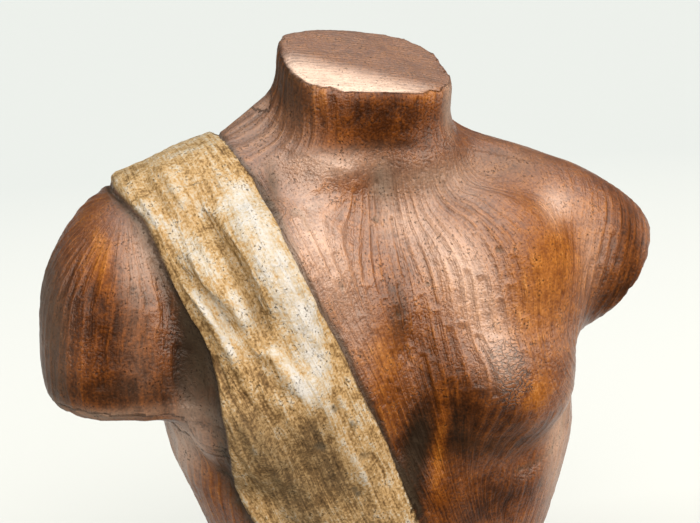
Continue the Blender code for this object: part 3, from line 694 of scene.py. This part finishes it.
# Low-fired terracotta, combed with a toothed tool while leather-hard, then glazed a transparent brown that
# runs thin on the ridges and pools in the flutes. The eye gets fine parallel ridges with a broken satin
# highlight on them. The sash is covered with an opaque ochre slip, pitted and rubbed: a drier, paler surface
# in the same clay
def glazedTerracotta(name):
    material = bpy.data.materials.new(name)
    material.use_nodes = True
    material.node_tree.nodes.clear()
    add = partial(addNode, material.node_tree)

    place = add("TexCoord", output="Object")
    combing = add("Attribute", {"attribute_name": "combing"}, output="Vector")
    flute, along, pressed = add("SeparateXYZ", None, {0: combing}).node.outputs
    shade, dirt, depth, patch, rubbed, gloss = (
        add("Attribute", {"attribute_name": kept}, output="Fac")
        for kept in ("shade", "dirt", "sashDepth", "scratches", "rubbed", "gloss")
    )
    onSash = add("Math", held, {0: depth, 1: 4.0, 2: 0.4})

    perMetre = {kind: 1 / (size * millimetre) for kind, size in surfaceSizes.items()}
    grit, mottling, patches, fleck = (
        add("TexNoise", None, {"Vector": place, "Scale": perMetre[kind], "Detail": detail})
        for kind, detail in (("grit", 2.0), ("mottling", 4.0), ("patches", 3.0), ("flecks", 3.0))
    )

    # Flutes: rounded hollows with a sharp ridge between them, painted light on its left and painted dark as
    # its shadow
    moved = add("Math", timesPlus, {0: mottling, 1: 0.14, 2: flute})
    within = add("Math", {"operation": "FRACT"}, {0: moved})
    skewed = add("Math", {"operation": "POWER"}, {0: within, 1: 0.7})
    hollow = add("Math", {"operation": "SINE"}, {0: add("Math", times, {0: skewed, 1: math.pi})})
    fluted = add("Math", times, {0: hollow, 1: pressed})
    stops = [(at, (grey, grey, grey, 1)) for at, grey in fluteGreys]
    fluteGlazeAndShadow = setRamp(add("ValToRGB", None, {"Fac": within}), stops)
    fluteGlazeAndShadow = add("Math", {"operation": "SUBTRACT"}, {0: fluteGlazeAndShadow, 1: 0.5})
    fluteGlazeAndShadow = add("Math", times, {0: fluteGlazeAndShadow, 1: pressed})

    # Streaks along the flutes, from grit dragged by the tool: about 0.5 mm wide, and drawn twice as coarse
    streakAcross = add("Math", times, {0: moved, 1: 4.0})
    streakAlong = add("Math", times, {0: along, 1: 0.2})
    streakAt = add("CombineXYZ", None, {0: streakAcross, 1: streakAlong})
    streaks = add("TexNoise", None, {"Vector": streakAt, "Scale": 1.0, "Detail": 3.0, "Roughness": 0.6})
    streaks = add("Math", {"operation": "SUBTRACT"}, {0: streaks, 1: 0.5})
    dragged = add("Math", held, {0: pressed, 1: 1.2, 2: 0.25})
    streaks = add("Math", timesPlus, {0: streaks, 1: dragged, 2: 0.5})

    # Scratches across the patch on the breast, in two directions
    crossed = []
    wander = add("Math", times, {0: mottling, 1: 5.5})
    broken = add("Math", times, {0: grit, 1: 2.0})
    for lean in ((0.35, 0.0, 0.94), (0.80, 0.0, -0.60)):
        lines = add("VectorMath", weighed, {0: place, 1: lean}, "Value")
        lines = add("Math", timesPlus, {0: lines, 1: perMetre["scratches"], 2: wander})
        lines = add("Math", {"operation": "PINGPONG"}, {0: lines, 1: 0.5})
        crossed.append(add("Math", held, {0: lines, 1: -6.0, 2: broken}))
    scratched = add("Math", {"operation": "MAXIMUM"}, {0: crossed[0], 1: crossed[1]})
    scratched = add("Math", times, {0: scratched, 1: patch})

    # Dark flecks and pits under 1 mm, drawn a little coarser, thick in some places and missing in others
    flecked = add("Math", timesPlus, {0: mottling, 1: 0.45, 2: fleck})
    flecked = add("Math", held, {0: flecked, 1: 8.0, 2: -6.7})
    fleckShare = add("Math", times, {0: flecked, 1: 0.75})
    # Grey patina settles in blotches; the same grey carries the painted reflection along the edges and the
    # painted shade in creases
    patinaAndPaintedLightShare = add("Math", held, {0: mottling, 1: 1.6, 2: 0.0})
    patinaAndPaintedLightShare = add("Math", times, {0: dirt, 1: patinaAndPaintedLightShare})
    # Rubbed places, which also carry a painted sheen, are chalkier on the ridges, and broken up by grit and
    # mottling
    paleShare = add("CombineXYZ", None, {0: mottling, 1: grit, 2: fluteGlazeAndShadow})
    paleShare = add("VectorMath", weighed, {0: paleShare, 1: (1.6, 0.9, 1.3)}, "Value")
    paleShare = add("Math", {"operation": "SUBTRACT", "use_clamp": True}, {0: paleShare, 1: 0.25})
    paleShare = add("Math", times, {0: rubbed, 1: paleShare})

    # Glaze and slip take their tone from the same patterns, and from the tones and painted light and shade
    # kept on the mesh. Each noise averages a half, which is taken off
    noises = add("CombineXYZ", None, {0: mottling, 1: patches, 2: streaks})
    details = add("CombineXYZ", None, {0: fluteGlazeAndShadow, 1: grit, 2: scratched})
    colours = []
    for look in (glazeLook, slipLook):
        even = look["tone"] - sum(look["unevenness"]) / 2 - look["details"][1] / 2
        tone = add("Math", timesPlus, {0: shade, 1: look["shading"], 2: even})
        for parts, shares in ((noises, look["unevenness"]), (details, look["details"])):
            weighing = add("VectorMath", weighed, {0: parts, 1: shares}, "Value")
            tone = add("Math", {"operation": "ADD"}, {0: tone, 1: weighing})
        stops = [(at, linearColour(hexColour)) for at, hexColour in zip(look["toneStops"], look["tones"])]
        colour = setRamp(add("ValToRGB", None, {"Fac": tone}), stops)
        for share, over in ((patinaAndPaintedLightShare, "patinaAndPaintedLight"), (paleShare, "rubbed"), (fleckShare, "flecks")):
            colour = add("Mix", mixed, {0: share, 6: colour, 7: linearColour(look[over])})
        colours.append(colour)
    colour = add("Mix", mixed, {0: onSash, 6: colours[0], 7: colours[1]})

    # Grit, which averages a half, roughens the surface, and the dirt mask, which also holds painted grey and
    # shade, dulls it
    rougher = slipLook["roughness"] - glazeLook["roughness"]
    rough = add("Math", timesPlus, {0: onSash, 1: rougher, 2: glazeLook["roughness"] - 0.1})
    rough = add("Math", timesPlus, {0: grit, 1: 0.2, 2: rough})
    rough = add("Math", timesPlus, {0: dirt, 1: 0.25, 2: rough})
    glossier = slipLook["coat"] - glazeLook["coat"]
    coat = add("Math", timesPlus, {0: onSash, 1: glossier, 2: glazeLook["coat"]})
    coat = add("Math", times, {0: coat, 1: add("Math", held, {0: dirt, 1: -0.6, 2: 1.0})})
    coat = add("Math", times, {0: coat, 1: gloss})

    fine = add("CombineXYZ", None, {0: fluted, 1: streaks, 2: grit})
    fine = add("VectorMath", weighed, {0: fine, 1: list(fineHeights.values())}, "Value")
    coarse = add("CombineXYZ", None, {0: mottling, 1: flecked, 2: scratched})
    coarse = add("VectorMath", weighed, {0: coarse, 1: list(coarseHeights.values())}, "Value")
    relief = add("Math", {"operation": "ADD"}, {0: fine, 1: coarse})
    bump = add("Bump", None, {"Height": relief, "Distance": millimetre, "Strength": 1.0})

    shader = add("BsdfPrincipled", None, {
        "Base Color": colour,
        "Roughness": rough,
        "Specular IOR Level": glazeLook["specular"],
        "Coat Weight": coat,
        "Coat IOR": glazeLook["coatIor"],
        "Coat Roughness": glazeLook["coatRoughness"],
        "Normal": bump,
        "Coat Normal": bump,
    })
    add("OutputMaterial", None, {"Surface": shader})
    return material


studio = {
    "aim": (-0.01824, -0.0072, 0.263),
    "azimuth": -16,
    "elevation": 16,
    "distance": 0.70,
    "lens": 70,
    "floorFront": "#989B9C",
    "floorNear": "#BEC2C1",
    "floorFar": "#ACB3B5",
    "backdrop": "#EEF3EF",
    "floorSplit": -0.12,  # metres: from here forward the floor isn't mirrored in the glaze
    "floorReach": 9,  # metres each way
    "boxAzimuth": 16,
    "boxElevation": 24,
    "boxLevel": 3.9,
    "boxTint": "#FFEEDD",
    "ceilingLevel": 2.2,
    "wallLevel": 0.18,
    "roomTint": "#F4F7F6",
}


# White paper with painted light: whitest just behind the figure, where the figure's shadow falls, and greyer
# farther back; greyer too in front of it, so that less light bounces up under the figure
def whitePaper():
    material = bpy.data.materials.new("white paper")
    material.use_nodes = True
    material.node_tree.nodes.clear()
    add = partial(addNode, material.node_tree)
    away = add("SeparateXYZ", None, {0: add("TexCoord", output="Object")}).node.outputs[1]
    away = add("MapRange", None, {0: away, 1: -0.2, 2: 1.8, 3: 0.0, 4: 1.0})
    shades = ((0.0, "floorFront"), (0.2, "floorNear"), (0.8, "floorFar"))
    stops = [(at, linearColour(studio[shade])) for at, shade in shades]
    colour = setRamp(add("ValToRGB", None, {"Fac": away}), stops)
    shader = add("BsdfPrincipled", None, {"Base Color": colour, "Roughness": 0.9, "Specular IOR Level": 0.1})
    add("OutputMaterial", None, {"Surface": shader})
    return material


# The floor is two sheets of one paper, because only the one behind is mirrored in the glaze
def makeFloor():
    paper = whitePaper()
    edge, reach = studio["floorSplit"], studio["floorReach"]
    for name, nearest, farthest in (("floor_back", edge, reach), ("floor_front", -reach, edge)):
        form = bmesh.new()
        bmesh.ops.create_grid(form, x_segments=1, y_segments=1, size=0.5)
        bmesh.ops.scale(form, vec=(2 * reach, farthest - nearest, 1), verts=form.verts)
        bmesh.ops.translate(form, vec=(0, (nearest + farthest) / 2, 0), verts=form.verts)
        mesh = bpy.data.meshes.new(name)
        form.to_mesh(mesh)
        form.free()
        mesh.materials.append(paper)
        sheet = bpy.data.objects.new(name, mesh)
        sheet.visible_glossy = name == "floor_back"
        bpy.context.scene.collection.objects.link(sheet)


# The unit vector towards an azimuth, from 0 in front to 90 on the right, and an elevation
def direction(azimuth, elevation):
    turn, tilt = math.radians(azimuth), math.radians(elevation)
    return Vector((math.sin(turn) * math.cos(tilt), -math.cos(turn) * math.cos(tilt), math.sin(tilt)))


def makeCamera():
    camera = bpy.data.objects.new("camera", bpy.data.cameras.new("camera"))
    bpy.context.scene.collection.objects.link(camera)
    away = direction(studio["azimuth"], studio["elevation"])
    camera.location = Vector(studio["aim"]) + away * studio["distance"]
    camera.rotation_mode = "QUATERNION"
    camera.rotation_quaternion = (-away).to_track_quat("-Z", "Y")
    camera.data.lens = studio["lens"]
    camera.data.clip_start = 0.01
    camera.data.clip_end = 50
    bpy.context.scene.camera = camera


# One wide soft box in front and to the right, a pale ceiling, and a room that is white behind and dim in
# front. The camera itself sees only the backdrop's even colour
def lightWorld():
    world = bpy.data.worlds.new("studio")
    world.use_nodes = True
    world.node_tree.nodes.clear()
    add = partial(addNode, world.node_tree)
    towards = add("TexCoord", output="Generated")
    azimuth, elevation = studio["boxAzimuth"], studio["boxElevation"]
    centre = direction(azimuth, elevation)
    right, up = direction(azimuth + 90, 0), direction(azimuth, elevation + 90)
    behind, overhead = Vector((0, 1, 0)), Vector((0, 0, 1))

    # Light that grows from least to most as a ray's reach along a direction goes from dark to bright
    def level(along, dark, bright, least=0.0, most=1.0):
        distance = add("VectorMath", weighed, {0: towards, 1: along}, "Value")
        return add("MapRange", soft, {0: distance, 1: dark, 2: bright, 3: least, 4: most})

    box = level(centre, 0.0, 0.15, 0.0, studio["boxLevel"])
    for edge in ((right, 0.88, 0.77), (-right, 0.94, 0.80), (up, 0.70, 0.35), (overhead, -0.15, 0.12)):
        box = add("Math", times, {0: box, 1: level(*edge)})
    ceiling = level(overhead, 0.50, 0.92, 0.0, studio["ceilingLevel"])
    walls = add("Math", times, {0: level(behind, -0.75, 0.1, 0.08), 1: studio["wallLevel"]})
    room = add("Math", {"operation": "ADD"}, {0: ceiling, 1: walls})
    lit = [
        add("Background", None, {"Color": linearColour(studio[tint]), "Strength": strength})
        for tint, strength in (("boxTint", box), ("roomTint", room), ("backdrop", 1.0))
    ]
    light = add("AddShader", None, {0: lit[0], 1: lit[1]})
    seen = add("LightPath", output="Is Camera Ray")
    add("OutputWorld", None, {"Surface": add("MixShader", None, {0: seen, 1: light, 2: lit[2]})})
    bpy.context.scene.world = world


makeCamera()
makeFloor()
lightWorld()
bpy.context.scene.view_settings.view_transform = "Standard"
print("studio ready")

makeTorso(glazedTerracotta("glazed terracotta"))
makePlinth(glazedTerracotta("glazed terracotta, dark"))
